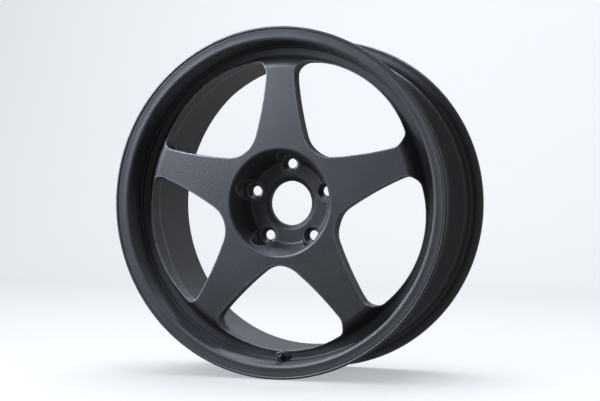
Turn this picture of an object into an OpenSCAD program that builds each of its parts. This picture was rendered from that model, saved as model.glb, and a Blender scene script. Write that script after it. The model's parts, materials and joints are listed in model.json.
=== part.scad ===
// Forged one-piece racing wheel, 18 x 7.5J, 5 x 114.3, with a clamp-in metal valve.
// The wheel axis is Y. The front (street side) faces -Y and +Z is up.
// y = 0 is the hub mounting face. Profiles are drawn as (r, h), where h = -y.

/* [Rim] */
// Outside diameter over the flanges
rim_od = 497; // [496:0.5:498]
// Bead seat diameter at the flange
bead_d = 462; // [461.5:0.1:462.5]
// Width between the flange faces
rim_w = 190.5; // [184:0.5:197]
// Offset from the rim centreline to the mounting face
offset_et = 34.5; // [32:0.5:36]
// Outside radius of the drop well
well_r = 214.2; // [213.9:0.1:214.8]
// Inside radius of the barrel
barrel_r = 210.6; // [210.2:0.1:210.8]
// Radius of the step ring at the foot of the lip
step_r = 223.5; // [223:0.1:224.5]

/* [Disc] */
// Height of the spoke face over the mounting face, at the hub
face_h = 57.8; // [57:0.1:59]
// Fall of the spoke face from the hub to the rim
face_fall = 1.2; // [0.5:0.1:2]
// Thickness of the spokes at their edges
spoke_t = 20; // [18:0.5:22]
// Height of the cove floor over the mounting face
cove_h = 33.5; // [33:0.1:35]
// Radius where the spoke face turns down into the cove
cove_r = 191; // [189:0.5:193]

/* [Windows] */
// Radius of the window's inner tip
tip_r = 89.3; // [88.5:0.1:90.5]
// Fillet radius of the inner tip
tip_fillet = 41; // [39:0.5:43]
// Radius of the long bowed sides
side_fillet = 476; // [430:2:520]
// Fillet radius of the outer corners
corner_fillet = 18; // [17:0.5:19]
// Radius of the outer arc
outer_fillet = 165.7; // [165:0.1:165.9]

/* [Hub] */
// Centre bore diameter
bore_d = 64.1; // [60:0.1:66]
// Pitch circle of the wheel bolts
pcd = 114.3; // [112:0.1:116]
// Clear hole of each wheel bolt
lug_d = 14; // [13:0.1:15]
// Counterbore of each wheel bolt
lug_cb_d = 31; // [29:0.5:32]
// Radius of the pocket's front edge
pocket_r = 76.2; // [75.5:0.1:77]
// Height of the pocket floor over the mounting face
floor_h = 14; // [13:0.5:16]
// Radius of the mounting pad
pad_r = 75; // [73:0.5:76]

/* [Valve] */
// Tilt of the valve towards the wheel centre
valve_tilt = 12; // [8:1:14]
// Radius of the valve axis at the outer spotface
valve_r = 219.6; // [219:0.1:220]
// Diameter of the valve hole
valve_hole = 11.3; // [11.3:0.1:11.5]
// Thickness of the rim wall that the valve clamps
wall_t = 6; // [5.5:0.1:6.5]
// Diameter of the stem's thread
stem_d = 7.7; // [7.7:0.05:7.9]
// Across flats of the valve nut
nut_af = 12; // [12:0.5:13]
// Diameter of the metal washer under the nut
washer_d = 16.6; // [15.5:0.1:17]
// Outside diameter of the cap
cap_d = 9.8; // [9.6:0.1:10.4]
// Travel of the core pin
pin_travel = 1.5; // [1:0.1:1.6]

/* [Hidden] */

spokes = 5;
rim_r = rim_od / 2;
bead_r = bead_d / 2;
hf = offset_et * -1 + rim_w / 2;        // front flange face
hb = offset_et * -1 - rim_w / 2;        // rear flange face
flange_h = rim_r - bead_r;
back_h = face_h - face_fall - spoke_t;  // back face of the spokes
back_fillet = 40;

function arc(cx, cy, r, a0, a1, n = 6) =
    [for (i = [0 : n]) let (a = a0 + (a1 - a0) * i / n) [cx + r * cos(a), cy + r * sin(a)]];

// Turned profile of the whole forging, (r, h)
front_side = concat(
    [[bore_d/2, 0], [bore_d/2, floor_h - 5], [38.6, floor_h]],
    arc(56, floor_h + 5, 5, -90, -18, 4),
    [[pocket_r - 2.6, face_h - 6]],
    arc(pocket_r + 2.2, face_h - 4.4, 4.4, 162, 92, 4));
rounding = arc(cove_r, face_h - face_fall - 11, 11, 88, 28, 5);
cove = concat(
    rounding,
    arc(214.5, cove_h + 8, 8, 208, 270, 4),
    [[step_r - 1.8, cove_h]],
    [[step_r - 0.9, cove_h + 5.2]],
    arc(step_r + 0.1, cove_h + 5.6, 0.9, 150, 30, 2),
    arc(step_r + 4.6, cove_h + 11, 3.2, 200, 160, 2),
    [[rim_r - 15.3, hf + 8.0]],
    arc(rim_r - 10.9, hf + 8.8, 3.4, 160, 90, 4),
    [[rim_r - 4.9, hf + 12.2], [rim_r - 4.3, hf + 11.6], [rim_r - 3.6, hf + 12.3]],
    arc(rim_r - 2, hf + 11.4, 2, 120, 0, 4));
tyre_side = concat(
    arc(rim_r - 9.5, hf + 9.5, 9.5, 0, -90, 6),
    arc(bead_r + 5.6, hf - 5.5, 5.6, 90, 175, 4),
    [[bead_r - 1.75, hf - 20], [bead_r - 0.5, hf - 22.6], [bead_r - 0.3, hf - 24.4], [bead_r - 1.4, hf - 27]],
    arc(well_r + 6, hf - 44, 6, 142, 180, 3),
    arc(well_r + 7, hb + 45, 7, 180, 222, 3),
    [[bead_r - 2.2, hb + 27.5], [bead_r - 0.5, hb + 24], [bead_r - 0.5, hb + 22.4], [bead_r - 1.75, hb + 20]],
    arc(bead_r + 5.6, hb + 5.5, 5.6, 185, 270, 4),
    arc(rim_r - 9.5, hb - 9.5, 9.5, 90, 0, 6));
rear_side = concat(
    arc(rim_r - 2, hb - 11.2, 2, 0, -90, 3),
    arc(rim_r - 10, hb - 11.2, 2, -90, -130, 2),
    [[bead_r - 5, hb - 5]],
    arc(bead_r - 9, hb - 1, 2.4, -20, 0, 2),
    [[bead_r - 6.6, hb + 27]],
    arc(barrel_r + 4, hb + 41, 4, 222, 180, 3));
back_side = concat(
    arc(barrel_r - back_fillet, back_h - back_fillet, back_fillet, 0, 90, 8),
    [[96, back_h]],
    arc(96, back_h - 9, 9, 90, 160, 4),
    [[pad_r + 2, 3], [pad_r, 0]]);
wheel_profile = concat(front_side, cove, tyre_side, rear_side, back_side);

// Window outline: four tangent arcs a side, in the frame (radial, tangential)
tip_c = [tip_r + tip_fillet, 0];
out_c = [barrel_r + 0.1 - outer_fillet, 0];
cor_x = 171.5;
cor_c = [cor_x, sqrt(pow(outer_fillet - corner_fillet, 2) - pow(cor_x - out_c[0], 2))];
sd1 = side_fillet - tip_fillet;
sd2 = side_fillet - corner_fillet;
sdv = cor_c - tip_c;
sdd = norm(sdv);
sda = (sd1*sd1 - sd2*sd2 + sdd*sdd) / (2*sdd);
sdh = sqrt(sd1*sd1 - sda*sda);
side_c = tip_c + sda * sdv / sdd + sdh * [sdv[1], -sdv[0]] / sdd;
ang_tip = atan2(tip_c[1] - side_c[1], tip_c[0] - side_c[0]);
ang_cor = atan2(cor_c[1] - side_c[1], cor_c[0] - side_c[0]);
ang_out = atan2(cor_c[1], cor_c[0] - out_c[0]);
function mir(p) = [p[0], -p[1]];
function on(c, r, a) = c + r * [cos(a), sin(a)];

module window_2d() {
    reach = 12;
    a = on(side_c, side_fillet + reach, ang_tip);
    b = on(side_c, side_fillet + reach, ang_cor);
    c = on(out_c, outer_fillet + reach, ang_out);
    intersection() {
        polygon([tip_c, a, b, cor_c, c, [rim_r, c[1]], [rim_r, -c[1]], mir(c), mir(cor_c), mir(b), mir(a)]);
        translate(side_c) circle(r = side_fillet, $fn = 720);
        translate(mir(side_c)) circle(r = side_fillet, $fn = 720);
        translate(out_c) circle(r = outer_fillet, $fn = 360);
    }
    translate(tip_c) circle(r = tip_fillet, $fn = 180);
    translate(cor_c) circle(r = corner_fillet, $fn = 120);
    translate(mir(cor_c)) circle(r = corner_fillet, $fn = 120);
}

// Everything on the wheel axis is drawn along +Z and turned to face -Y
module on_axis() rotate([90, 0, 0]) children();

// Valve frame: +Z runs out of the rim along the stem, z = 0 at the outer spotface
module on_valve()
    translate([0, -cove_h - 0.5, -valve_r]) rotate([90 - valve_tilt, 0, 0]) children();

module ring(od, id, z0, z1, fn = 72)
    difference() {
        translate([0, 0, z0]) cylinder(d = od, h = z1 - z0, $fn = fn);
        translate([0, 0, z0 - 1]) cylinder(d = id, h = z1 - z0 + 2, $fn = fn);
    }

// Rounded pocket milled in the back of one spoke
module spoke_pocket_2d() {
    polygon([[112, -15.5], [158, -10.5], [158, 10.5], [112, 15.5]]);
    translate([112, 0]) circle(r = 15.5, $fn = 72);
    translate([158, 0]) circle(r = 10.5, $fn = 72);
}

// ---- the one-piece forging
module wheel_forging() color([0.13, 0.135, 0.145]) {
    difference() {
        on_axis() difference() {
            rotate_extrude($fn = 240) polygon(wheel_profile);
            for (i = [0 : spokes - 1]) {
                rotate([0, 0, 54 + 72 * i]) {
                    translate([0, 0, -6]) linear_extrude(height = 90) window_2d();
                    translate([57, 0, -1]) cylinder(r = 11, h = 7.5, $fn = 72);
                }
                rotate([0, 0, 90 + 72 * i]) {
                    translate([0, 0, back_h - 10]) linear_extrude(height = 18) spoke_pocket_2d();
                    translate([pcd / 2, 0, -1]) cylinder(d = lug_d, h = 20, $fn = 72);
                    translate([pcd / 2, 0, 4]) cylinder(d1 = lug_d, d2 = lug_d + 20 * tan(30), h = 10, $fn = 72);
                    translate([pcd / 2, 0, floor_h - 0.8]) cylinder(d = lug_cb_d, h = 60, $fn = 96);
                }
            }
        }
        on_valve() {
            translate([0, 0, -wall_t - 20]) cylinder(d = valve_hole, h = 40, $fn = 72);
            cylinder(d = 18, h = 12, $fn = 72);
            translate([0, 0, -wall_t - 18]) cylinder(d = 15.4, h = 18, $fn = 72);
        }
    }
}

// ---- valve: stem, seals, washer and nut
module valve_stem() color([0.10, 0.10, 0.11]) on_valve() difference() {
    union() {
        translate([0, 0, -wall_t - 5.8]) cylinder(d = 14.2, h = 2.6, $fn = 72);
        translate([0, 0, -wall_t - 3.3]) cylinder(d = stem_d, h = wall_t + 3.3 + 19.4, $fn = 72);
        translate([0, 0, 19.4]) cylinder(d1 = stem_d, d2 = stem_d - 1, h = 0.6, $fn = 72);
    }
    translate([0, 0, 9.6]) cylinder(d = 5.3, h = 12, $fn = 72);
    translate([0, 0, 8.4]) cylinder(d1 = 4.5, d2 = 5.3, h = 1.2, $fn = 72);
    translate([0, 0, -wall_t - 7]) cylinder(d = 4.5, h = wall_t + 16, $fn = 72);
}

module inner_grommet() color([0.05, 0.05, 0.05]) on_valve() {
    difference() {
        union() {
            translate([0, 0, -wall_t - 3.2]) cylinder(d1 = 13.6, d2 = 14.8, h = 3.2, $fn = 72);
            translate([0, 0, -wall_t - 0.1]) cylinder(d = valve_hole - 0.1, h = 3.1, $fn = 72);
        }
        translate([0, 0, -wall_t - 5]) cylinder(d = stem_d + 0.1, h = 20, $fn = 72);
    }
}

module outer_grommet() color([0.05, 0.05, 0.05]) on_valve() {
    difference() {
        union() {
            cylinder(d = 15.4, h = 1.8, $fn = 72);
            translate([0, 0, -2.4]) cylinder(d = valve_hole - 0.1, h = 2.5, $fn = 72);
        }
        translate([0, 0, -5]) cylinder(d = stem_d + 0.1, h = 20, $fn = 72);
    }
}

module thrust_washer() color([0.12, 0.12, 0.13]) on_valve()
    ring(washer_d, stem_d + 0.4, 1.8, 3.0);

module hex_nut() color([0.12, 0.12, 0.13]) on_valve()
    difference() {
        intersection() {
            translate([0, 0, 3.0]) rotate([0, 0, 15]) cylinder(d = nut_af / cos(30), h = 5, $fn = 6);
            translate([0, 0, 3.0]) cylinder(d1 = nut_af / cos(30) + 8.6, d2 = nut_af / cos(30) - 1.4, h = 5, $fn = 72);
        }
        translate([0, 0, 2]) cylinder(d = stem_d + 0.06, h = 8, $fn = 72);
    }

// ---- dust cap: knurled shell and the rubber disc inside it
module cap_shell() color([0.09, 0.09, 0.10]) on_valve()
    difference() {
        union() {
            translate([0, 0, 10.6]) cylinder(d = cap_d, h = 9.9, $fn = 72);
            translate([0, 0, 20.5]) cylinder(d1 = cap_d, d2 = cap_d - 2, h = 1, $fn = 72);
        }
        translate([0, 0, 10]) cylinder(d = stem_d + 0.12, h = 10.6, $fn = 72);
        for (a = [0 : 20 : 340]) rotate([0, 0, a])
            translate([cap_d / 2 + 0.25, 0, 11.4]) cylinder(d = 1, h = 8.6, $fn = 24);
    }

module cap_seal() color([0.05, 0.05, 0.05]) on_valve()
    ring(6.9, 2.6, 20.1, 20.55);

// ---- valve core: plug, barrel, gasket, pin, cup, cup gasket and spring
module core_plug() color([0.62, 0.55, 0.33]) on_valve()
    difference() {
        translate([0, 0, 13.6]) cylinder(d = 5.24, h = 4.6, $fn = 72);
        translate([0, 0, 13]) cylinder(d = 2.3, h = 7, $fn = 72);
        for (s = [-1, 1]) translate([s * 3.4, 0, 17.2]) cube([2.6, 6, 2.4], center = true);
    }

module core_barrel() color([0.62, 0.55, 0.33]) on_valve()
    difference() {
        union() {
            translate([0, 0, 10.3]) cylinder(d = 5.1, h = 3.3, $fn = 72);
            translate([0, 0, 3.6]) cylinder(d = 3.6, h = 6.8, $fn = 72);
        }
        translate([0, 0, 4.6]) cylinder(d = 2.7, h = 10, $fn = 72);
        translate([0, 0, 3]) cylinder(d = 1.7, h = 4, $fn = 72);
    }

module core_gasket() color([0.55, 0.12, 0.10]) on_valve()
    difference() {
        union() {
            translate([0, 0, 9.7]) cylinder(d = 5.22, h = 0.6, $fn = 72);
            translate([0, 0, 8.6]) cylinder(d1 = 4.5, d2 = 5.22, h = 1.1, $fn = 72);
        }
        translate([0, 0, 8]) cylinder(d = 3.66, h = 3, $fn = 72);
    }

module core_pin() color([0.75, 0.68, 0.42]) on_valve() {
    translate([0, 0, 1.2]) cylinder(d = 1.2, h = 17.9, $fn = 48);
    translate([0, 0, 11.6]) cylinder(d = 2.1, h = 0.8, $fn = 48);
    translate([0, 0, 19.0]) cylinder(d1 = 1.7, d2 = 1.3, h = 0.6, $fn = 48);
    translate([0, 0, 18.5]) cylinder(d = 1.7, h = 0.5, $fn = 48);
}

module core_cup() color([0.62, 0.55, 0.33]) on_valve()
    ring(3.7, 1.24, 1.6, 2.9, 48);

module core_cup_gasket() color([0.05, 0.05, 0.05]) on_valve()
    ring(3.3, 1.24, 2.9, 3.56, 48);

// Coil spring between the barrel's shoulder and the pin's collar
spring_wire = 0.3;
spring_r = 1.0;
spring_turns = 7;
spring_z0 = 4.6 + 0.17;
spring_z1 = 11.6 - 0.17;
spring_sides = 8;
spring_rings = spring_turns * 16;
function coil(t) = [spring_r * cos(360 * spring_turns * t), spring_r * sin(360 * spring_turns * t),
                    spring_z0 + (spring_z1 - spring_z0) * t];
function coil_pt(i, j) =
    let (t = i / spring_rings, a = 360 * spring_turns * t, b = 360 * j / spring_sides, p = coil(t),
         w = spring_wire / 2)
    [p[0] + w * cos(b) * cos(a), p[1] + w * cos(b) * sin(a), p[2] + w * sin(b)];

module core_spring() color([0.72, 0.72, 0.74]) on_valve() {
    pts = [for (i = [0 : spring_rings]) for (j = [0 : spring_sides - 1]) coil_pt(i, j)];
    n = spring_sides;
    sides = [for (i = [0 : spring_rings - 1]) for (j = [0 : n - 1])
        [i * n + j, (i + 1) * n + j, (i + 1) * n + (j + 1) % n, i * n + (j + 1) % n]];
    polyhedron(points = pts, convexity = 10,
        faces = concat([[for (j = [0 : n - 1]) j]],
                       [[for (j = [n - 1 : -1 : 0]) spring_rings * n + j]], sides));
}

wheel_forging();
valve_stem();
inner_grommet();
outer_grommet();
thrust_washer();
hex_nut();
cap_shell();
cap_seal();
core_plug();
core_barrel();
core_gasket();
core_pin();
core_cup();
core_cup_gasket();
core_spring();
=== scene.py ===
import json
import math

import bpy
import bmesh
import numpy as np
from mathutils import Matrix, Vector
from mathutils.geometry import delaunay_2d_cdt

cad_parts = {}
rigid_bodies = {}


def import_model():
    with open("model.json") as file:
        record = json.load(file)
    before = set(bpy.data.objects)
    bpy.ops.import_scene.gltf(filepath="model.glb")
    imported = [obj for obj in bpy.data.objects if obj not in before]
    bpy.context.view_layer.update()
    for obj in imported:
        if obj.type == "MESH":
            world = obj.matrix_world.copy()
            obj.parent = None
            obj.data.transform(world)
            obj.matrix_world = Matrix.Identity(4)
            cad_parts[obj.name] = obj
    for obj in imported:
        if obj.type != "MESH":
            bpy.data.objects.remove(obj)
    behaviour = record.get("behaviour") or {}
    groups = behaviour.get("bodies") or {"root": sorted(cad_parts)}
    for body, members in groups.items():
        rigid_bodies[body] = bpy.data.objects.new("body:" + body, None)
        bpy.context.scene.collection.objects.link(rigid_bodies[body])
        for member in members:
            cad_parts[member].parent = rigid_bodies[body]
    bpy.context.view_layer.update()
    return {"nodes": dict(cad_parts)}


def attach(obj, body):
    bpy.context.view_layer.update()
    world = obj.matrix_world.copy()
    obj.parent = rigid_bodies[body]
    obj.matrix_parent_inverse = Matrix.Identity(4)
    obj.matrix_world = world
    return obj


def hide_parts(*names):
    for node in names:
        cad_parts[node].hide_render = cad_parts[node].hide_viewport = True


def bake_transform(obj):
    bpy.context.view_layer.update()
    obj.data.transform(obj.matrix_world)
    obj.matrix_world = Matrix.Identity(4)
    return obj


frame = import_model()
scene = bpy.context.scene
MM = 0.001

# ------------------------------------------------------------------ numbers shared with the CAD source (mm)
RIM_R, BEAD_R, HF, HB = 248.5, 231.0, 60.75, -129.75
WELL_R, BARREL_R, STEP_R = 214.2, 210.6, 223.5
FACE_H, FACE_FALL, SPOKE_T = 57.8, 1.2, 20.0
BACK_H = FACE_H - FACE_FALL - SPOKE_T
COVE_H, COVE_R = 33.5, 191.0
BORE_R, POCKET_R, FLOOR_H, PAD_R = 32.05, 76.2, 14.0, 75.0
PCR, LUG_R, CB_R, CB_H = 57.15, 7.0, 15.5, 13.2
REL_R, REL_AT, REL_D = 11.0, 57.0, 6.5
VALVE_R, VALVE_TILT, WALL_T = 219.6, 12.0, 6.0
WEDGE = math.radians(36.0)
SEG = 40                      # steps in a tenth of a turn


def arc(cx, cy, r, a0, a1, n=6):
    a = np.radians(np.linspace(a0, a1, n + 1))
    return [(cx + r * math.cos(t), cy + r * math.sin(t)) for t in a]


def soften(pts, cut=0.7, least=7.0):
    """Rounds the corners of a polyline by up to cut mm."""
    out = [pts[0]]
    for a, b, c in zip(pts[:-2], pts[1:-1], pts[2:]):
        a, b, c = np.array(a, float), np.array(b, float), np.array(c, float)
        u, v = b - a, c - b
        lu, lv = np.linalg.norm(u), np.linalg.norm(v)
        turn = math.degrees(math.acos(max(-1, min(1, float(u @ v) / (lu * lv)))))
        if turn < least:
            out.append(tuple(b))
            continue
        k = min(cut, 0.36 * lu, 0.36 * lv)
        p, q = b - u / lu * k, b + v / lv * k
        n = 4 if turn > 25 else 2
        for i in range(n + 1):
            t = i / n
            out.append(tuple((1 - t) ** 2 * p + 2 * t * (1 - t) * b + t * t * q))
    out.append(pts[-1])
    return out


# ------------------------------------------------------------------ turned profiles, (r, h) with h towards the street
front_line = soften(
    [(BORE_R, FLOOR_H - 5), (38.6, FLOOR_H)]
    + arc(56, FLOOR_H + 5, 5, -90, -18, 12)
    + [(POCKET_R - 2.6, FACE_H - 6)]
    + arc(POCKET_R + 2.2, FACE_H - 4.4, 4.4, 162, 90.4, 12)
    + arc(COVE_R, FACE_H - FACE_FALL - 11, 11, 88, 28, 14)
    + arc(214.5, COVE_H + 8, 8, 208, 270, 12)
    + [(219.5, COVE_H)], cut=1.2, least=6.5)
lip_line = soften(
    [(219.5, COVE_H), (STEP_R - 1.8, COVE_H), (STEP_R - 0.9, COVE_H + 5.2)]
    + arc(STEP_R + 0.1, COVE_H + 5.6, 0.9, 150, 30, 6)
    + arc(STEP_R + 4.6, COVE_H + 11, 3.2, 200, 160, 6)
    + arc(RIM_R - 14.2, HF + 5.0, 6.0, 160, 90, 14)
    + [(RIM_R - 12.4, HF + 11.05), (RIM_R - 10.2, HF + 11.22), (RIM_R - 7.6, HF + 11.62), (RIM_R - 4.9, HF + 12.2), (RIM_R - 4.3, HF + 11.6), (RIM_R - 3.6, HF + 12.3)]
    + arc(RIM_R - 2, HF + 11.4, 2, 120, 0, 10)
    + arc(RIM_R - 9.5, HF + 9.5, 9.5, 0, -90, 14)
    + arc(BEAD_R + 5.6, HF - 5.5, 5.6, 90, 175, 10)
    + [(BEAD_R - 1.75, HF - 20), (BEAD_R - 0.5, HF - 22.6), (BEAD_R - 0.3, HF - 24.4), (BEAD_R - 1.4, HF - 27)]
    + arc(WELL_R + 6, HF - 44, 6, 142, 180, 8)
    + arc(WELL_R + 7, HB + 45, 7, 180, 222, 8)
    + [(BEAD_R - 2.2, HB + 27.5), (BEAD_R - 0.5, HB + 24), (BEAD_R - 0.5, HB + 22.4), (BEAD_R - 1.75, HB + 20)]
    + arc(BEAD_R + 5.6, HB + 5.5, 5.6, 185, 270, 10)
    + arc(RIM_R - 9.5, HB - 9.5, 9.5, 90, 0, 14)
    + arc(RIM_R - 2, HB - 11.2, 2, 0, -90, 8)
    + arc(RIM_R - 10, HB - 11.2, 2, -90, -130, 4)
    + [(BEAD_R - 5, HB - 5)]
    + arc(BEAD_R - 9, HB - 1, 2.4, -20, 0, 3)
    + [(BEAD_R - 6.6, HB + 27)]
    + arc(BARREL_R + 4, HB + 41, 4, 222, 180, 8)
    + [(BARREL_R, -20.0)], cut=0.9)
back_line = soften(
    [(BORE_R + 0.6, 0), (PAD_R, 0), (PAD_R + 2, 3)]
    + arc(96, BACK_H - 9, 9, 160, 90, 12), cut=1.0) + \
    arc(BARREL_R - 40, BACK_H - 40, 40, 90, 0, 22) + [(BARREL_R, -20.0)]


class Line:
    """A profile as a height over its own arc length, so that steep walls have room in plan."""

    def __init__(self, pts, step=2.4):
        p = np.array(pts, float)
        keep = [0]
        for i in range(1, len(p)):
            if np.linalg.norm(p[i] - p[keep[-1]]) > 0.02:
                keep.append(i)
        self.p = p = p[keep]
        self.s = np.concatenate([[0], np.cumsum(np.linalg.norm(np.diff(p, axis=0), axis=1))]) + p[0, 0]
        rise = np.maximum.accumulate(p[:, 0] + 1e-9 * np.arange(len(p)))
        self.r = rise
        rings = []
        for a, b in zip(self.s[:-1], self.s[1:]):
            n = max(1, math.ceil((b - a) / step))
            rings += list(np.linspace(a, b, n, endpoint=False))
        rings.append(self.s[-1])
        out = [rings[0]]
        for v in rings[1:-1]:
            if v - out[-1] > 0.4:
                out.append(v)
        if rings[-1] - out[-1] < 0.4:
            out.pop()
        self.rings = np.array(out + [rings[-1]])

    def s_of(self, r):
        return np.interp(r, self.r, self.s)

    def r_of(self, s):
        return np.interp(s, self.s, self.p[:, 0])

    def h_of(self, s):
        return np.interp(s, self.s, self.p[:, 1])

    def h_at(self, r):
        return self.h_of(self.s_of(r))


FRONT, BACK = Line(front_line), Line(back_line)

# ------------------------------------------------------------------ window outline: four tangent arcs a half
TIP, RT, RO, RC, RS, CU = 89.3, 41.0, 165.7, 18.0, 476.0, 171.5
OC = 210.4 - RO
cv = math.sqrt((RO - RC) ** 2 - (CU - OC) ** 2)
t_c = np.array([TIP + RT, 0.0])
c_c = np.array([CU, cv])
d1, d2 = RS - RT, RS - RC
dd = c_c - t_c
D = np.linalg.norm(dd)
aa = (d1 * d1 - d2 * d2 + D * D) / (2 * D)
hh = math.sqrt(d1 * d1 - aa * aa)
s_c = t_c + aa * dd / D + hh * np.array([dd[1], -dd[0]]) / D
a_t = math.degrees(math.atan2(t_c[1] - s_c[1], t_c[0] - s_c[0]))
a_c = math.degrees(math.atan2(c_c[1] - s_c[1], c_c[0] - s_c[0]))
a_o = math.degrees(math.atan2(c_c[1], c_c[0] - OC))


def half_outline():
    """Points and outward normals from the inner tip, over the +v side, to the outer arc's middle."""
    pts, nrm = [], []
    for c, r, a0, a1, n in ((t_c, RT, 180, a_t, 18), (s_c, RS, a_t, a_c, 50), (c_c, RC, a_c, a_o, 30),
                            (np.array([OC, 0.0]), RO, a_o, 0, 56)):
        a = np.radians(np.linspace(a0, a1, n + 1))
        e = np.stack([np.cos(a), np.sin(a)], 1)
        k = 0 if not pts else 1
        pts += list(c + r * e[k:])
        nrm += list(e[k:])
    pts, nrm = np.array(pts), np.array(nrm)
    pts[0, 1] = pts[-1, 1] = nrm[0, 1] = nrm[-1, 1] = 0.0
    return pts, nrm


SIDE = np.array([math.sin(WEDGE), -math.cos(WEDGE)])      # from the spoke's line towards the window
ALONG = np.array([math.cos(WEDGE), math.sin(WEDGE)])


def half_round(at, r, on_spoke, n=28):
    """Half a circle on one of the wedge's two straight edges, from its outer to its inner end (or back, on the window's line)."""
    a = np.linspace(0, math.pi, n + 1)
    if on_spoke:
        e = np.cos(a)[:, None] * ALONG + np.sin(a)[:, None] * SIDE
        e[0], e[-1] = ALONG, -ALONG
        return at * ALONG + r * e, e
    e = np.stack([-np.cos(a), np.sin(a)], 1)
    e[0], e[-1] = (-1, 0), (1, 0)
    return np.array([at, 0.0]) + r * e, e


def half_slot(p0, r0, p1, r1, n=22):
    """Half of the rounded spoke pocket, from its outer end (p1) to its inner end (p0)."""
    tilt = math.asin((r0 - r1) / (p1 - p0))
    pts, nrm = [], []
    top = math.pi / 2 - tilt
    for c, r, a0, a1, m in ((p1, r1, 0, top, n), (p0, r0, top, math.pi, n)):
        for a in np.linspace(a0, a1, m + 1):
            e = math.cos(a) * ALONG + math.sin(a) * SIDE
            pts.append(c * ALONG + r * e)
            nrm.append(e)
        if c == p1:
            q0 = p1 * ALONG + r1 * (math.cos(top) * ALONG + math.sin(top) * SIDE)
            q1 = p0 * ALONG + r0 * (math.cos(top) * ALONG + math.sin(top) * SIDE)
            for t in np.linspace(0, 1, 16)[1:-1]:
                pts.append(q0 + (q1 - q0) * t)
                nrm.append(math.cos(top) * ALONG + math.sin(top) * SIDE)
    return np.array(pts), np.array(nrm)


class Wedge:
    """A tenth of the forging. Points are (u, v, h); u runs along the window's line and v >= 0."""

    def __init__(self):
        self.v, self.f, self.e = [], [], []
        self.n = 0

    def add(self, uv, h, edge=0.0):
        uv = np.atleast_2d(uv)
        h = np.broadcast_to(np.asarray(h, float), (len(uv),))
        self.v.append(np.column_stack([uv, h]))
        self.e.append(np.broadcast_to(np.asarray(edge, float), (len(uv),)))
        ids = list(range(self.n, self.n + len(uv)))
        self.n += len(uv)
        return ids

    def strip(self, a, b):
        for i in range(len(a) - 1):
            self.f.append((a[i], a[i + 1], b[i + 1], b[i]))

    def polygon(self, ids):
        self.f.append(tuple(ids))


def polar(r, ang):
    return np.stack([np.broadcast_to(r, np.shape(ang)) * np.cos(ang), np.broadcast_to(r, np.shape(ang)) * np.sin(ang)], -1)


def inside(poly, pts):
    x, y = pts[:, 0], pts[:, 1]
    got = np.zeros(len(pts), bool)
    a, b = poly, np.roll(poly, -1, 0)
    for (x0, y0), (x1, y1) in zip(a, b):
        if y0 == y1:
            continue
        hit = (y0 > y) != (y1 > y)
        got ^= hit & (x < x0 + (y - y0) * (x1 - x0) / (y1 - y0))
    return got


def plan(line, uv):
    """Real plan point to unrolled plan point."""
    r = np.hypot(uv[:, 0], uv[:, 1])
    s = line.s_of(r)
    return uv * (s / r)[:, None]


def surface(w, line, loop, loop_ids, gap=0.75):
    """Fills the loop (unrolled plan points, with their vertex numbers) with a grid that follows the turned profile."""
    grid = []
    for s in line.rings[1:-1]:
        r = line.r_of(s)
        n = SEG // 2 if r < 48 else SEG
        ang = np.linspace(0, WEDGE, n + 1)[1:-1]
        grid.append(polar(s, ang))
    grid = np.concatenate(grid)
    grid = grid[inside(loop, grid)]
    ends = np.roll(loop, -1, 0)
    far = np.full(len(grid), 1e9)
    for p, q in zip(loop, ends):
        d = q - p
        ll = float(d @ d)
        t = np.clip(((grid - p) @ d) / ll, 0, 1) if ll > 0 else 0
        far = np.minimum(far, np.hypot(*(grid - (p + np.outer(t, d))).T))
    grid = grid[far > gap]
    s = np.hypot(grid[:, 0], grid[:, 1])
    r = line.r_of(s)
    ids = w.add(grid * (r / s)[:, None], line.h_of(s))
    pts = np.concatenate([loop, grid])
    numbers = list(loop_ids) + ids
    out = delaunay_2d_cdt([Vector(p) for p in pts], [], [list(range(len(loop)))], 1, 1e-7, True)
    verts, faces, origin = out[0], out[2], out[3]
    names = []
    for k, src in enumerate(origin):
        if src:
            names.append(numbers[src[0]])
        else:
            p = np.array(verts[k])
            s = float(np.hypot(*p))
            names.append(w.add([p * (line.r_of(s) / s)], [float(line.h_of(s))])[0])
    flat = np.array([[q[0], q[1]] for q in verts])
    tri = []
    for f in faces:
        (ax, ay), (bx, by), (cx, cy) = flat[f[0]], flat[f[1]], flat[f[2]]
        if abs((bx - ax) * (cy - ay) - (cx - ax) * (by - ay)) > 5e-3:      # no slivers along the straight edges
            tri.append(f)
    mid = np.array([flat[list(f)].mean(0) for f in tri])
    for f, good in zip(tri, inside(loop, mid)):
        if good:
            w.f.append(tuple(names[i] for i in f))


def rounded(w, line, pts, nrm, rho, sign, steps=5, extra=0.0):
    """Rows of a rounded edge. sign +1 is the street side, where metal is below the surface. Returns (edge row, surface row and its plan points)."""
    rho = np.broadcast_to(np.asarray(rho, float), (len(pts),))
    rows, uv = [], None
    for k in range(steps + 1):
        a = math.radians(90.0 * k / steps)
        uv = pts + nrm * (rho * (1 - math.cos(a)))[:, None]
        h = line.h_at(np.hypot(uv[:, 0], uv[:, 1])) - sign * rho * (1 - math.sin(a))
        rows.append(w.add(uv, h, 1.0 if k < steps else 0.6))
    if extra:
        uv = pts + nrm * (rho + extra)[:, None]
        rows.append(w.add(uv, line.h_at(np.hypot(uv[:, 0], uv[:, 1]))))
    for a, b in zip(rows[:-1], rows[1:]):
        w.strip(a, b)
    return rows[0], rows[-1], uv


def wall(w, pts, top_row, top_h, low_row, low_h, rows=5):
    last = top_row
    for k in range(1, rows):
        t = k / rows
        new = w.add(pts, top_h * (1 - t) + low_h * t)
        w.strip(last, new)
        last = new
    w.strip(last, low_row)


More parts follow.
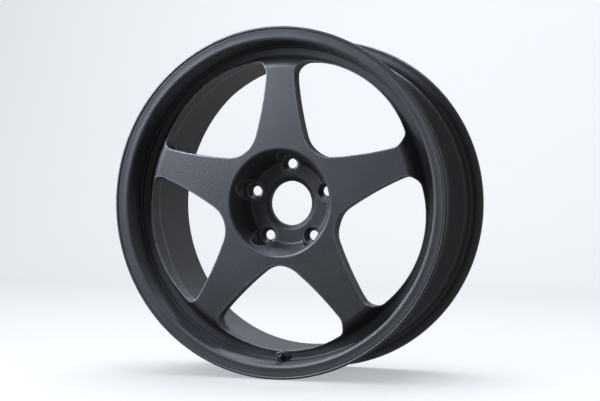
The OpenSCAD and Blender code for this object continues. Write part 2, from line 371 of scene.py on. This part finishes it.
def build_wedge():
    w = Wedge()
    out_p, out_n = half_outline()
    r_out = np.hypot(out_p[:, 0], out_p[:, 1])

    # rounded window edges, street side and car side
    rho = 1.5
    f_edge, f_in, f_uv = rounded(w, FRONT, out_p, out_n, rho, +1, 5, 0.9)
    t = np.clip((206.0 - r_out) / 16.0, 0, 1)
    rho_b = 0.15 + 1.65 * t * t * (3 - 2 * t)
    b_edge, b_in, b_uv = rounded(w, BACK, out_p, out_n, rho_b, -1, 5)
    wall(w, out_p, f_edge, FRONT.h_at(r_out) - rho, b_edge, BACK.h_at(r_out) + rho_b, 7)

    # wheel bolt seat: counterbore, cone and hole
    cp, cn = half_round(PCR, CB_R, True, 40)
    l_edge, l_in, l_uv = rounded(w, FRONT, cp, cn, 0.45, +1, 4, 0.5)
    rc = np.hypot(cp[:, 0], cp[:, 1])
    foot = w.add(cp - cn * 0.15, CB_H, 0.3)
    foot_h = np.full(len(cp), CB_H + 0.15)
    foot0 = w.add(cp, foot_h)
    wall(w, cp, l_edge, FRONT.h_at(rc) - 0.45, foot0, foot_h, 9)
    w.strip(foot0, foot)
    last = foot
    cone_r = LUG_R + (CB_H - 4) * math.tan(math.radians(30))
    for r, h, e in ((cone_r + 0.35, CB_H, 0.4), (cone_r, CB_H - 0.18, 1.0), (cone_r * 0.5 + LUG_R * 0.5, (CB_H + 4) / 2, 0.0),
                    (LUG_R + 0.12, 4.2, 0.4), (LUG_R, 3.9, 0.4), (LUG_R, 0.6, 0.4), (LUG_R + 0.3, 0.18, 1.0), (LUG_R + 0.7, 0.0, 0.4)):
        new = w.add(half_round(PCR, r, True, 40)[0], h, e)
        w.strip(last, new)
        last = new
    h_ids, h_uv = last, half_round(PCR, LUG_R + 0.7, True, 40)[0]

    # relief pocket in the mounting pad
    rp, rn = half_round(REL_AT, REL_R, False, 32)
    p_edge, p_in, p_uv = rounded(w, BACK, rp, rn, 0.6, -1, 4)
    last = p_edge
    for k in range(6):
        a = math.radians(90 * k / 5)
        e = 1.6 * (1 - math.cos(a))
        new = w.add(half_round(REL_AT, REL_R - e, False, 32)[0], REL_D - 1.6 * (1 - math.sin(a)))
        w.strip(last, new)
        last = new
    w.polygon(last)

    # long pocket in the back of the spoke
    sp, sn = half_slot(112, 15.5, 158, 10.5)
    s_edge, s_in, s_uv = rounded(w, BACK, sp, sn, 1.3, -1, 4)
    last = s_edge
    for k in range(7):
        a = math.radians(90 * k / 6)
        e = 3.0 * (1 - math.cos(a))
        new = w.add(sp - sn * e, BACK_H + 10 - 3.0 * (1 - math.sin(a)))
        w.strip(last, new)
        last = new
    w.polygon(last)

    def along(line, lo, hi, direction, margin=0.45, ends=(False, False)):
        """Ring points on a wedge edge between two unrolled radii."""
        s = [x for x in line.rings if (lo + margin < x < hi - margin)]
        if ends[0]:
            s = [lo] + s
        if ends[1]:
            s = s + [hi]
        s = np.array(s)
        uv = s[:, None] * direction
        r = line.r_of(s)
        return uv, w.add(r[:, None] * direction, line.h_of(s))

    U = np.array([1.0, 0.0])
    ang = np.linspace(0, WEDGE, SEG + 1)
    half = ang[::2]

    # street side
    def s_at(line, uv):
        return float(line.s_of(math.hypot(*uv)))

    S0, S1 = FRONT.rings[0], FRONT.rings[-1]
    a_uv, a_id = along(FRONT, S0, s_at(FRONT, f_uv[0]), U, ends=(True, False))
    c_uv, c_id = along(FRONT, s_at(FRONT, f_uv[-1]), S1, U, ends=(False, True))
    d_uv = polar(S1, ang[1:-1])
    d_id = w.add(polar(FRONT.p[-1, 0], ang[1:-1]), FRONT.p[-1, 1])
    e_uv, e_id = along(FRONT, s_at(FRONT, l_uv[0]), S1, ALONG, ends=(False, True))
    g_uv, g_id = along(FRONT, S0, s_at(FRONT, l_uv[-1]), ALONG, ends=(True, False))
    j_uv = polar(S0, half[1:-1])
    j_id = w.add(polar(FRONT.p[0, 0], half[1:-1]), FRONT.p[0, 1])
    loop = np.concatenate([a_uv, plan(FRONT, f_uv), c_uv, d_uv, e_uv[::-1], plan(FRONT, l_uv), g_uv[::-1], j_uv[::-1]])
    ids = a_id + f_in + c_id + d_id + e_id[::-1] + l_in + g_id[::-1] + j_id[::-1]
    surface(w, FRONT, loop, ids)
    rim_start = [c_id[-1]] + d_id + [e_id[-1]]
    bore_start = [a_id[0]] + j_id + [g_id[0]]

    # car side
    S0, S1 = BACK.rings[0], BACK.rings[-1]
    a_uv, a_id = along(BACK, S0, s_at(BACK, p_uv[0]), U, ends=(True, False))
    a2_uv, a2_id = along(BACK, s_at(BACK, p_uv[-1]), s_at(BACK, b_uv[0]), U)
    c_uv, c_id = along(BACK, s_at(BACK, b_uv[-1]), S1, U, ends=(False, True))
    d_uv = polar(S1, ang[1:-1])
    d_id = w.add(polar(BACK.p[-1, 0], ang[1:-1]), BACK.p[-1, 1])
    e_uv, e_id = along(BACK, s_at(BACK, s_uv[0]), S1, ALONG, ends=(False, True))
    g_uv, g_id = along(BACK, s_at(BACK, h_uv[0]), s_at(BACK, s_uv[-1]), ALONG)
    i_uv, i_id = along(BACK, S0, s_at(BACK, h_uv[-1]), ALONG, ends=(True, False))
    j_uv = polar(S0, half[1:-1])
    j_id = w.add(polar(BACK.p[0, 0], half[1:-1]), BACK.p[0, 1])
    loop = np.concatenate([a_uv, plan(BACK, p_uv), a2_uv, plan(BACK, b_uv), c_uv, d_uv, e_uv[::-1], plan(BACK, s_uv),
                           g_uv[::-1], plan(BACK, h_uv), i_uv[::-1], j_uv[::-1]])
    ids = a_id + p_in + a2_id + b_in + c_id + d_id + e_id[::-1] + s_in + g_id[::-1] + h_ids + i_id[::-1] + j_id[::-1]
    surface(w, BACK, loop, ids)
    rim_end = [c_id[-1]] + d_id + [e_id[-1]]
    bore_end = [a_id[0]] + j_id + [i_id[0]]

    # bore
    last = bore_start
    for r, h, e in ((BORE_R, 6.0, 0), (BORE_R, 3.0, 0), (BORE_R, 0.6, 0.6)):
        new = w.add(polar(r, half), h, e)
        w.strip(last, new)
        last = new
    w.strip(last, bore_end)

    # lip, flanges, seats, well and barrel
    p = np.array(lip_line, float)
    keep = [0]
    for i in range(1, len(p)):
        if np.linalg.norm(p[i] - p[keep[-1]]) > 0.2:
            keep.append(i)
    p = p[keep]
    fine = [p[0]]
    for a, b in zip(p[:-1], p[1:]):
        n = max(1, math.ceil(np.linalg.norm(b - a) / 5.0))
        fine += [a + (b - a) * k / n for k in range(1, n + 1)]
    last = rim_start
    for r, h in fine[1:-1]:
        new = w.add(polar(r, ang), h)
        w.strip(last, new)
        last = new
    w.strip(last, rim_end)
    return w


def whole(w):
    v = np.concatenate(w.v)
    e = np.concatenate(w.e)
    # the two straight edges are exact, so that the copies meet
    ang = np.arctan2(v[:, 1], v[:, 0])
    r = np.hypot(v[:, 0], v[:, 1])
    on0 = np.abs(v[:, 1]) < 1e-6
    v[on0, 1] = 0.0
    on1 = np.abs(ang - WEDGE) * r < 1e-6
    v[on1, 0], v[on1, 1] = r[on1] * ALONG[0], r[on1] * ALONG[1]
    verts, faces, edge = [], [], []
    base = 0
    for i in range(5):
        th = math.radians(54 + 72 * i)
        c, s = math.cos(th), math.sin(th)
        for m in (1, -1):
            x = v[:, 0] * c - m * v[:, 1] * s
            z = v[:, 0] * s + m * v[:, 1] * c
            verts.append(np.column_stack([x, -v[:, 2], z]))
            edge.append(e)
            faces += [tuple(k + base for k in (f if m == 1 else f[::-1])) for f in w.f]
            base += len(v)
    return np.concatenate(verts), faces, np.concatenate(edge)


def new_mesh(name, verts, faces, smooth=True):
    me = bpy.data.meshes.new(name)
    me.from_pydata([tuple(p) for p in verts], [], faces)
    me.validate()
    ob = bpy.data.objects.new(name, me)
    scene.collection.objects.link(ob)
    if smooth:
        me.shade_smooth()
    return ob


def lathe(name, profile, axis, origin, seg=96, closed=False):
    """Turns (radius, along) points, in mm, about an axis through origin. closed joins the last point to the first, for a ring."""
    axis = Vector(axis).normalized()
    x = axis.orthogonal().normalized()
    y = axis.cross(x)
    verts, faces = [], []
    rows = []
    for r, s in profile:
        if r < 1e-6:
            verts.append(origin + axis * s * MM)
            rows.append([len(verts) - 1] * seg)
        else:
            row = []
            for k in range(seg):
                a = 2 * math.pi * k / seg
                verts.append(origin + axis * s * MM + (x * math.cos(a) + y * math.sin(a)) * r * MM)
                row.append(len(verts) - 1)
            rows.append(row)
    pairs = list(zip(rows[:-1], rows[1:]))
    if closed:
        pairs.append((rows[-1], rows[0]))
    for a, b in pairs:
        for k in range(seg):
            q = [a[k], a[(k + 1) % seg], b[(k + 1) % seg], b[k]]
            f = []
            for i in q:
                if i not in f:
                    f.append(i)
            if len(f) > 2:
                faces.append(tuple(f))
    ob = new_mesh(name, verts, faces)
    bm = bmesh.new()
    bm.from_mesh(ob.data)
    bmesh.ops.recalc_face_normals(bm, faces=bm.faces)
    bm.to_mesh(ob.data)
    bm.free()
    return ob


tilt = math.radians(VALVE_TILT)
V_AXIS = Vector((0, -math.cos(tilt), math.sin(tilt)))
V_ORIGIN = Vector((0, -(COVE_H + 0.5), -VALVE_R)) * MM

wedge = build_wedge()
verts, faces, edge = whole(wedge)
forging = new_mesh("wheel_forging_skin", verts * MM, faces)
# the edge weights mark the rounded edges for the coat's lighter edge colour: a painted highlight line along each edge,
# partly edge wear
attr = forging.data.attributes.new("edge_highlight_and_wear", "FLOAT", "POINT")
attr.data.foreach_set("value", edge.astype(np.float32))
bm = bmesh.new()
bm.from_mesh(forging.data)
bmesh.ops.remove_doubles(bm, verts=bm.verts, dist=1e-6)
bmesh.ops.recalc_face_normals(bm, faces=bm.faces)
loose = [e for e in bm.edges if len(e.link_faces) != 2]
print("forging verts", len(bm.verts), "faces", len(bm.faces), "open or shared edges", len(loose))
bm.to_mesh(forging.data)
bm.free()

# valve seat cut
cutter = lathe("cut_valve", [(0, -24), (7.7, -24), (7.7, -6.25), (7.4, -6.0), (6.1, -6.0), (5.65, -5.55), (5.65, -0.45), (6.1, 0.0),
                             (8.7, 0.0), (9.0, 0.3), (9.0, 12), (0, 12)], V_AXIS, V_ORIGIN, 96)
mod = forging.modifiers.new("valve_seat", "BOOLEAN")
mod.operation = "DIFFERENCE"
mod.object = cutter
mod.solver = "MANIFOLD"
bpy.context.view_layer.update()
cut = bpy.data.meshes.new_from_object(forging.evaluated_get(bpy.context.evaluated_depsgraph_get()))
print("after the valve seat", len(cut.vertices), len(cut.polygons))
forging.modifiers.clear()
forging.data = cut
bpy.data.objects.remove(cutter)
forging.data.shade_smooth()
forging.data.set_sharp_from_angle(angle=math.radians(38))
wn = forging.modifiers.new("normals", "WEIGHTED_NORMAL")
wn.mode = "FACE_AREA"
wn.keep_sharp = True
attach(forging, "wheel")
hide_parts("wheel_forging")


# ------------------------------------------------------------------ valve pieces
V_X = V_AXIS.orthogonal().normalized()
V_Y = V_AXIS.cross(V_X)


def turned(name, rows, seg=96, body="wheel", node_name=None, sharp=32, ring=True):
    """A closed turned piece on the valve's axis. rows are (radius, along) in mm, numbers or functions of the angle. A ring's last row joins its first; otherwise both end rows are closed flat."""
    verts, faces = [], []
    for r, s in rows:
        for k in range(seg):
            a = 2 * math.pi * k / seg
            rr = r(a) if callable(r) else r
            ss = s(a) if callable(s) else s
            verts.append(V_ORIGIN + (V_AXIS * ss + (V_X * math.cos(a) + V_Y * math.sin(a)) * rr) * MM)
    n = len(rows)
    if not ring:
        faces += [tuple(range(seg))[::-1], tuple(range((n - 1) * seg, n * seg))]
    for i in range(n if ring else n - 1):
        j = (i + 1) % n
        for k in range(seg):
            m = (k + 1) % seg
            faces.append((i * seg + k, i * seg + m, j * seg + m, j * seg + k))
    ob = new_mesh(name, verts, faces)
    b = bmesh.new()
    b.from_mesh(ob.data)
    bmesh.ops.recalc_face_normals(b, faces=b.faces)
    b.to_mesh(ob.data)
    b.free()
    ob.data.set_sharp_from_angle(angle=math.radians(sharp))
    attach(ob, body)
    if node_name:
        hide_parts(node_name)
    return ob


PITCH = 0.794


def threaded(r_out, depth, s0, s1, inward=False, per=8, phase=0.0):
    """Rows of a helical thread between s0 and s1, fading out at both ends."""
    n = max(2, int(round((s1 - s0) / PITCH * per)))
    rows = []
    for i in range(n + 1):
        s = s0 + (s1 - s0) * i / n
        fade = min(1.0, (s - s0) / 0.5, (s1 - s) / 0.5)

        def r(a, s=s, fade=fade):
            t = (s / PITCH - a / (2 * math.pi) + phase) % 1.0
            tri = abs(2 * t - 1)                       # 1 at the root, 0 at the crest
            cut = min(1.0, max(0.0, (tri - 0.14) / 0.72)) * depth * max(0.0, fade)
            return r_out + cut if inward else r_out - cut
        rows.append((r, s))
    return rows


# stem: round head, threaded shank, bore with the core's seat
stem_rows = [(2.25, -11.8), (6.7, -11.8), (7.0, -11.7), (7.1, -11.4), (7.1, -9.5), (6.9, -9.2), (3.85, -9.2), (3.85, -7.5), (3.85, 2.6)]
stem_rows += threaded(3.85, 0.42, 2.9, 19.3)
stem_rows += [(3.62, 19.6), (3.35, 20.0), (2.75, 20.0), (2.65, 19.9), (2.65, 14.0), (2.65, 9.6), (2.25, 8.4), (2.25, 0.0)]
stem = turned("valve_stem_threaded", stem_rows, 72, "wheel", "valve_stem")

# seals squeezed by the nut: slightly bulged
inner = turned("inner_seal", [(3.9, -9.2), (6.5, -9.2), (6.85, -9.05), (7.2, -8.2), (7.38, -7.2), (7.3, -6.3), (7.0, -6.0), (5.65, -6.0),
                              (5.6, -5.9), (5.6, -3.2), (5.4, -3.0), (3.9, -3.0)], 96, "wheel", "inner_grommet")
outer = turned("outer_seal", [(3.9, -2.4), (5.4, -2.4), (5.6, -2.2), (5.6, -0.05), (5.75, 0.0), (7.25, 0.0), (7.55, 0.2), (7.7, 0.6), (7.7, 1.2),
                              (7.55, 1.6), (7.3, 1.8), (3.9, 1.8)], 96, "wheel", "outer_grommet")
washer = turned("thrust_washer_rounded", [(4.05, 1.85), (4.15, 1.8), (8.0, 1.8), (8.2, 1.88), (8.3, 2.1), (8.3, 2.7), (8.22, 2.9), (8.05, 3.0),
                                          (4.2, 3.0), (4.05, 2.9)], 120, "wheel", "thrust_washer")

NUT_AF = 12.0


def hexr(a):
    b = (a - math.radians(15)) % math.radians(60) - math.radians(30)
    return NUT_AF / 2 / math.cos(b)


flat_r = NUT_AF / 2 * 0.965
nut_rows = [(3.9, 3.45), (4.3, 3.0), (flat_r, 3.0), (lambda a: hexr(a), lambda a: 3.0 + (hexr(a) - flat_r) * 0.35),
            (lambda a: hexr(a), 5.5), (lambda a: hexr(a), lambda a: 8.0 - (hexr(a) - flat_r) * 0.58), (flat_r, 8.0), (4.6, 8.0), (4.3, 7.9), (3.9, 7.5)]
nut = turned("hex_nut_chamfered", nut_rows, 144, "wheel", "hex_nut", 25)

# cap: straight knurl between two plain bands, and a threaded bore
def knurl(base, depth, count=30):
    return lambda a: base - depth * (0.5 - 0.5 * math.cos(count * a)) ** 0.7


cap_rows = [(3.88, 20.6), (3.92, 20.5)]
cap_rows += threaded(3.92, 0.3, 11.3, 20.3, inward=True, phase=0.5)[::-1]
cap_rows += [(3.95, 10.95), (4.25, 10.6), (4.55, 10.6), (4.78, 10.75), (4.9, 11.0), (4.9, 11.7), (4.8, 11.85), (4.62, 11.95), (4.62, 12.2),
            (knurl(4.72, 0.1), 12.3), (knurl(4.9, 0.3), 12.5)]
cap_rows += [(knurl(4.9, 0.34), 12.5 + 6.6 * i / 6) for i in range(1, 6)]
cap_rows += [(knurl(4.9, 0.3), 19.1), (knurl(4.72, 0.1), 19.3), (4.62, 19.4), (4.62, 19.65), (4.8, 19.75), (4.9, 19.95), (4.9, 20.5), (4.72, 20.85),
             (4.35, 21.2), (3.9, 21.42), (3.2, 21.5), (2.6, 21.5), (2.4, 21.46), (2.2, 21.36), (1.2, 21.3)]
cap = turned("cap_knurled", cap_rows, 180, "cap", "cap_shell", 30, ring=False)


def coil(turns, r, wire, s0, s1, per=30, sides=12):
    verts, faces = [], []
    n = turns * per
    for i in range(n + 1):
        a = 2 * math.pi * turns * i / n
        out = V_X * math.cos(a) + V_Y * math.sin(a)
        run = ((V_Y * math.cos(a) - V_X * math.sin(a)) * (2 * math.pi * turns * r) + V_AXIS * (s1 - s0)).normalized()
        side = run.cross(out)
        for k in range(sides):
            b = 2 * math.pi * k / sides
            verts.append(V_ORIGIN + (V_AXIS * (s0 + (s1 - s0) * i / n) + out * r + (out * math.cos(b) + side * math.sin(b)) * wire / 2) * MM)
        if i:
            for k in range(sides):
                m = (k + 1) % sides
                faces.append(((i - 1) * sides + k, (i - 1) * sides + m, i * sides + m, i * sides + k))
    faces += [tuple(range(sides))[::-1], tuple(range(n * sides, (n + 1) * sides))]
    ob = new_mesh("spring_coil", verts, faces)
    b = bmesh.new()
    b.from_mesh(ob.data)
    bmesh.ops.recalc_face_normals(b, faces=b.faces)
    b.to_mesh(ob.data)
    b.free()
    ob.data.set_sharp_from_angle(angle=math.radians(50))
    return ob


# the core's spring: a coil from the barrel's shoulder to the pin
spring = coil(7, 1.0, 0.3, 4.77, 11.43)
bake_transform(spring)
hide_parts("core_spring")


# ------------------------------------------------------------------ materials
def shader(name):
    m = bpy.data.materials.new(name)
    m.use_nodes = True
    nt = m.node_tree
    bsdf = next(n for n in nt.nodes if n.type == "BSDF_PRINCIPLED")
    return m, nt, bsdf


def noise(nt, coords, scale, detail=2.0, rough=0.5):
    n = nt.nodes.new("ShaderNodeTexNoise")
    n.inputs["Scale"].default_value = scale
    n.inputs["Detail"].default_value = detail
    n.inputs["Roughness"].default_value = rough
    nt.links.new(coords, n.inputs["Vector"])
    return n.outputs["Fac"]


def ramp(nt, fac, lo, hi, v0, v1):
    n = nt.nodes.new("ShaderNodeMapRange")
    n.inputs["From Min"].default_value = lo
    n.inputs["From Max"].default_value = hi
    n.inputs["To Min"].default_value = v0
    n.inputs["To Max"].default_value = v1
    nt.links.new(fac, n.inputs["Value"])
    return n.outputs["Result"]


def mix(nt, fac, a, b):
    n = nt.nodes.new("ShaderNodeMix")
    n.data_type = "RGBA"
    if isinstance(fac, (int, float)):
        n.inputs[0].default_value = fac
    else:
        nt.links.new(fac, n.inputs[0])
    for sock, c in ((n.inputs[6], a), (n.inputs[7], b)):
        if isinstance(c, tuple):
            sock.default_value = (*c, 1.0)
        else:
            nt.links.new(c, sock)
    return n.outputs[2]


def math_node(nt, op, a, b):
    n = nt.nodes.new("ShaderNodeMath")
    n.operation = op
    for sock, c in ((n.inputs[0], a), (n.inputs[1], b)):
        if isinstance(c, (int, float)):
            sock.default_value = c
        else:
            nt.links.new(c, sock)
    return n.outputs[0]


def finish_material(name, dark, light, rough, rough_var, metallic=0.0, spec=0.5, grain=1100.0, peel=260.0,
                    bump=0.00003, edge=None, edge_amount=0.5, pointy=None):
    """A coated or machined finish: mottled colour, uneven roughness, fine grain and a slight orange peel."""
    m, nt, b = shader(name)
    co = nt.nodes.new("ShaderNodeTexCoord").outputs["Object"]
    fine = noise(nt, co, grain, 3.0, 0.6)
    wide = noise(nt, co, peel, 2.0, 0.5)
    cloud = noise(nt, co, 14.0, 3.0, 0.6)
    tone = math_node(nt, "ADD", math_node(nt, "MULTIPLY", fine, 0.55), math_node(nt, "MULTIPLY", cloud, 0.45))
    col = mix(nt, ramp(nt, tone, 0.35, 0.65, 0.0, 1.0), dark, light)
    rsum = math_node(nt, "ADD", math_node(nt, "MULTIPLY", cloud, 0.6), math_node(nt, "MULTIPLY", wide, 0.4))
    rf = ramp(nt, rsum, 0.3, 0.7, rough - rough_var, rough + rough_var)
    # edges mixed towards the lighter edge colour: on the coat a painted highlight along the rounded edges, partly edge
    # wear
    if edge is not None:
        if pointy is None:
            a = nt.nodes.new("ShaderNodeAttribute")
            a.attribute_name = "edge_highlight_and_wear"
            edge_highlight_and_wear_mask = a.outputs["Fac"]
        else:
            g = nt.nodes.new("ShaderNodeNewGeometry")
            edge_highlight_and_wear_mask = ramp(nt, g.outputs["Pointiness"], pointy[0], pointy[1], 0.0, 1.0)
        edge_highlight_and_wear_mask = math_node(nt, "MULTIPLY", edge_highlight_and_wear_mask, ramp(nt, noise(nt, co, 160.0, 4.0, 0.65), 0.35, 0.7, 0.25, 1.0))
        edge_highlight_and_wear_mask = math_node(nt, "MULTIPLY", edge_highlight_and_wear_mask, edge_amount)
        col = mix(nt, edge_highlight_and_wear_mask, col, edge)
        rf = math_node(nt, "SUBTRACT", rf, math_node(nt, "MULTIPLY", edge_highlight_and_wear_mask, 0.10))
    nt.links.new(col, b.inputs["Base Color"])
    nt.links.new(rf, b.inputs["Roughness"])
    b.inputs["Metallic"].default_value = metallic
    b.inputs["Specular IOR Level"].default_value = spec
    h = math_node(nt, "ADD", math_node(nt, "MULTIPLY", fine, 1.0), math_node(nt, "MULTIPLY", wide, 0.8))
    bp = nt.nodes.new("ShaderNodeBump")
    bp.inputs["Strength"].default_value = 1.0
    bp.inputs["Distance"].default_value = bump
    nt.links.new(h, bp.inputs["Height"])
    nt.links.new(bp.outputs["Normal"], b.inputs["Normal"])
    return m


# the coat's light edge colour is a painted highlight along the rounded window and bolt seat edges, partly edge wear
COAT = finish_material("satin_black_powder_coat", (0.011, 0.0115, 0.013), (0.020, 0.021, 0.024), 0.50, 0.05,
                       spec=0.45, grain=1300.0, peel=480.0, bump=0.00021, edge=(0.20, 0.205, 0.215), edge_amount=0.75)
ANOD = finish_material("black_anodised", (0.022, 0.022, 0.024), (0.034, 0.034, 0.037), 0.34, 0.06,
                       metallic=0.35, spec=0.5, grain=3000.0, peel=900.0, bump=0.000012, edge=(0.16, 0.16, 0.165), edge_amount=0.5,
                       pointy=(0.52, 0.60))
RUBBER = finish_material("moulded_rubber", (0.014, 0.014, 0.014), (0.026, 0.026, 0.026), 0.72, 0.08, spec=0.4, grain=2500.0,
                         peel=600.0, bump=0.00003)
BRASS = finish_material("machined_brass", (0.50, 0.37, 0.15), (0.64, 0.50, 0.24), 0.28, 0.08, metallic=1.0, grain=4000.0,
                        peel=1500.0, bump=0.000008, edge=(0.85, 0.74, 0.48), edge_amount=0.5, pointy=(0.52, 0.60))
RED = finish_material("red_core_seal", (0.36, 0.04, 0.03), (0.48, 0.06, 0.045), 0.45, 0.08, grain=3000.0, peel=900.0, bump=0.00001)
STEEL = finish_material("drawn_spring_steel", (0.46, 0.46, 0.48), (0.60, 0.60, 0.62), 0.28, 0.06, metallic=1.0, grain=5000.0,
                        peel=2000.0, bump=0.000006)


def paint(ob, m):
    ob.data.materials.clear()
    ob.data.materials.append(m)


paint(forging, COAT)
for ob in (stem, washer, nut, cap):
    paint(ob, ANOD)
for ob in (inner, outer):
    paint(ob, RUBBER)
paint(spring, STEEL)
for names, m in ((("valve_stem", "thrust_washer", "hex_nut", "cap_shell"), ANOD),
                 (("inner_grommet", "outer_grommet", "cap_seal", "core_cup_gasket"), RUBBER),
                 (("core_plug", "core_barrel", "core_pin", "core_cup"), BRASS),
                 (("core_gasket",), RED), (("core_spring",), STEEL)):
    for n in names:
        paint(frame["nodes"][n], m)

# ------------------------------------------------------------------ floor, light and camera
FLOOR_Z = -0.2485
prof = [(-6.0, 0.0), (2.2, 0.0)]
for k in range(1, 25):
    a = math.radians(90 * k / 24)
    prof.append((2.2 + 2.4 * math.sin(a), 2.4 * (1 - math.cos(a))))
prof.append((4.6, 6.0))
sv, sf = [], []
for i, (y, z) in enumerate(prof):
    for x in (-9.0, 9.0):
        sv.append((x, y, z + FLOOR_Z))
    if i:
        sf.append((2 * i - 2, 2 * i - 1, 2 * i + 1, 2 * i))
floor = new_mesh("studio_floor", sv, sf)
m, nt, b = shader("studio_paper")
co = nt.nodes.new("ShaderNodeTexCoord").outputs["Object"]
nt.links.new(mix(nt, noise(nt, co, 3.0, 3.0), (0.86, 0.87, 0.885), (0.88, 0.888, 0.90)), b.inputs["Base Color"])
b.inputs["Roughness"].default_value = 0.85
b.inputs["Specular IOR Level"].default_value = 0.2
paint(floor, m)

world = bpy.data.worlds.new("studio")
scene.world = world
world.use_nodes = True
bg = world.node_tree.nodes["Background"]
bg.inputs["Color"].default_value = (0.92, 0.95, 1.0, 1.0)
bg.inputs["Strength"].default_value = 0.40


# the wheel and the paper have their own lights, as in a cut-out catalogue picture, and the paper throws none back
paper_only = bpy.data.collections.new("paper_only")
paper_only.objects.link(floor)
wheel_only = bpy.data.collections.new("wheel_only")
for ob in scene.objects:
    if ob.type == "MESH" and ob is not floor:
        wheel_only.objects.link(ob)
floor.visible_diffuse = False
floor.visible_glossy = False


def area(name, at, look, size, power, receivers, size_y=None, colour=(0.80, 0.87, 1.0)):
    d = bpy.data.lights.new(name, "AREA")
    d.shape = "RECTANGLE"
    d.size = size
    d.size_y = size_y or size
    d.energy = power
    d.color = colour
    ob = bpy.data.objects.new(name, d)
    scene.collection.objects.link(ob)
    ob.location = at
    ob.rotation_mode = "QUATERNION"
    ob.rotation_quaternion = (Vector(look) - Vector(at)).to_track_quat("-Z", "Y")
    ob.light_linking.receiver_collection = receivers
    ob.visible_camera = False
    return ob


def around(az, el, dist):
    a, e = math.radians(az), math.radians(el)
    return (dist * math.sin(a) * math.cos(e), -dist * math.cos(a) * math.cos(e), dist * math.sin(e))


C = (0, 0, 0)
area("box_1", around(-60, 40, 0.65), C, 0.3, 14.31, wheel_only)
area("box_2", around(-50, 20, 1.0), C, 0.45, 6.58, wheel_only)
area("box_3", around(180, 50, 2.2), C, 0.8, 30.94, wheel_only)
area("box_4", around(-140, 10, 2.2), C, 0.8, 13.15, wheel_only)
area("box_5", around(150, 10, 2.2), C, 0.8, 1.34, wheel_only)
area("box_6", around(-25, 10, 2.2), C, 0.8, 0.19, wheel_only)
area("paper_top", (0, 0.4, 2.6), (0, 0.2, 0), 2.0, 30, paper_only, colour=(0.96, 0.975, 1.0))
area("paper_back", (-1.1, 2.6, 3.2), (-1.1, 4.2, 0.6), 4.0, 54, paper_only, size_y=1.5, colour=(0.96, 0.975, 1.0))
fill = area("paper_fill", (0, -3.0, 2.5), (0, 1, 0), 3.0, 140, paper_only, colour=(0.96, 0.975, 1.0))
fill.data.use_shadow = False

cam_data = bpy.data.cameras.new("camera")
cam = bpy.data.objects.new("camera", cam_data)
scene.collection.objects.link(cam)
fw = Vector((-0.34087369, 0.94010249, 0.0035274)).normalized()
roll = math.radians(0.28)
right = fw.cross(Vector((0, 0, 1))).normalized()
up = right.cross(fw)
r3 = right * math.cos(roll) + up * math.sin(roll)
u3 = -right * math.sin(roll) + up * math.cos(roll)
mat = Matrix((r3, u3, -fw)).transposed().to_4x4()
mat.translation = Vector((792.93, -2157.73, -4.417)) * MM
cam.matrix_world = mat
cam_data.sensor_width = 36.0
cam_data.sensor_fit = "HORIZONTAL"
cam_data.lens = 1587.0 / 600.0 * 36.0
cam_data.clip_start = 0.05
cam_data.clip_end = 60.0
scene.camera = cam
scene.view_settings.view_transform = "Standard"
scene.view_settings.look = "None"

bpy.context.view_layer.update()
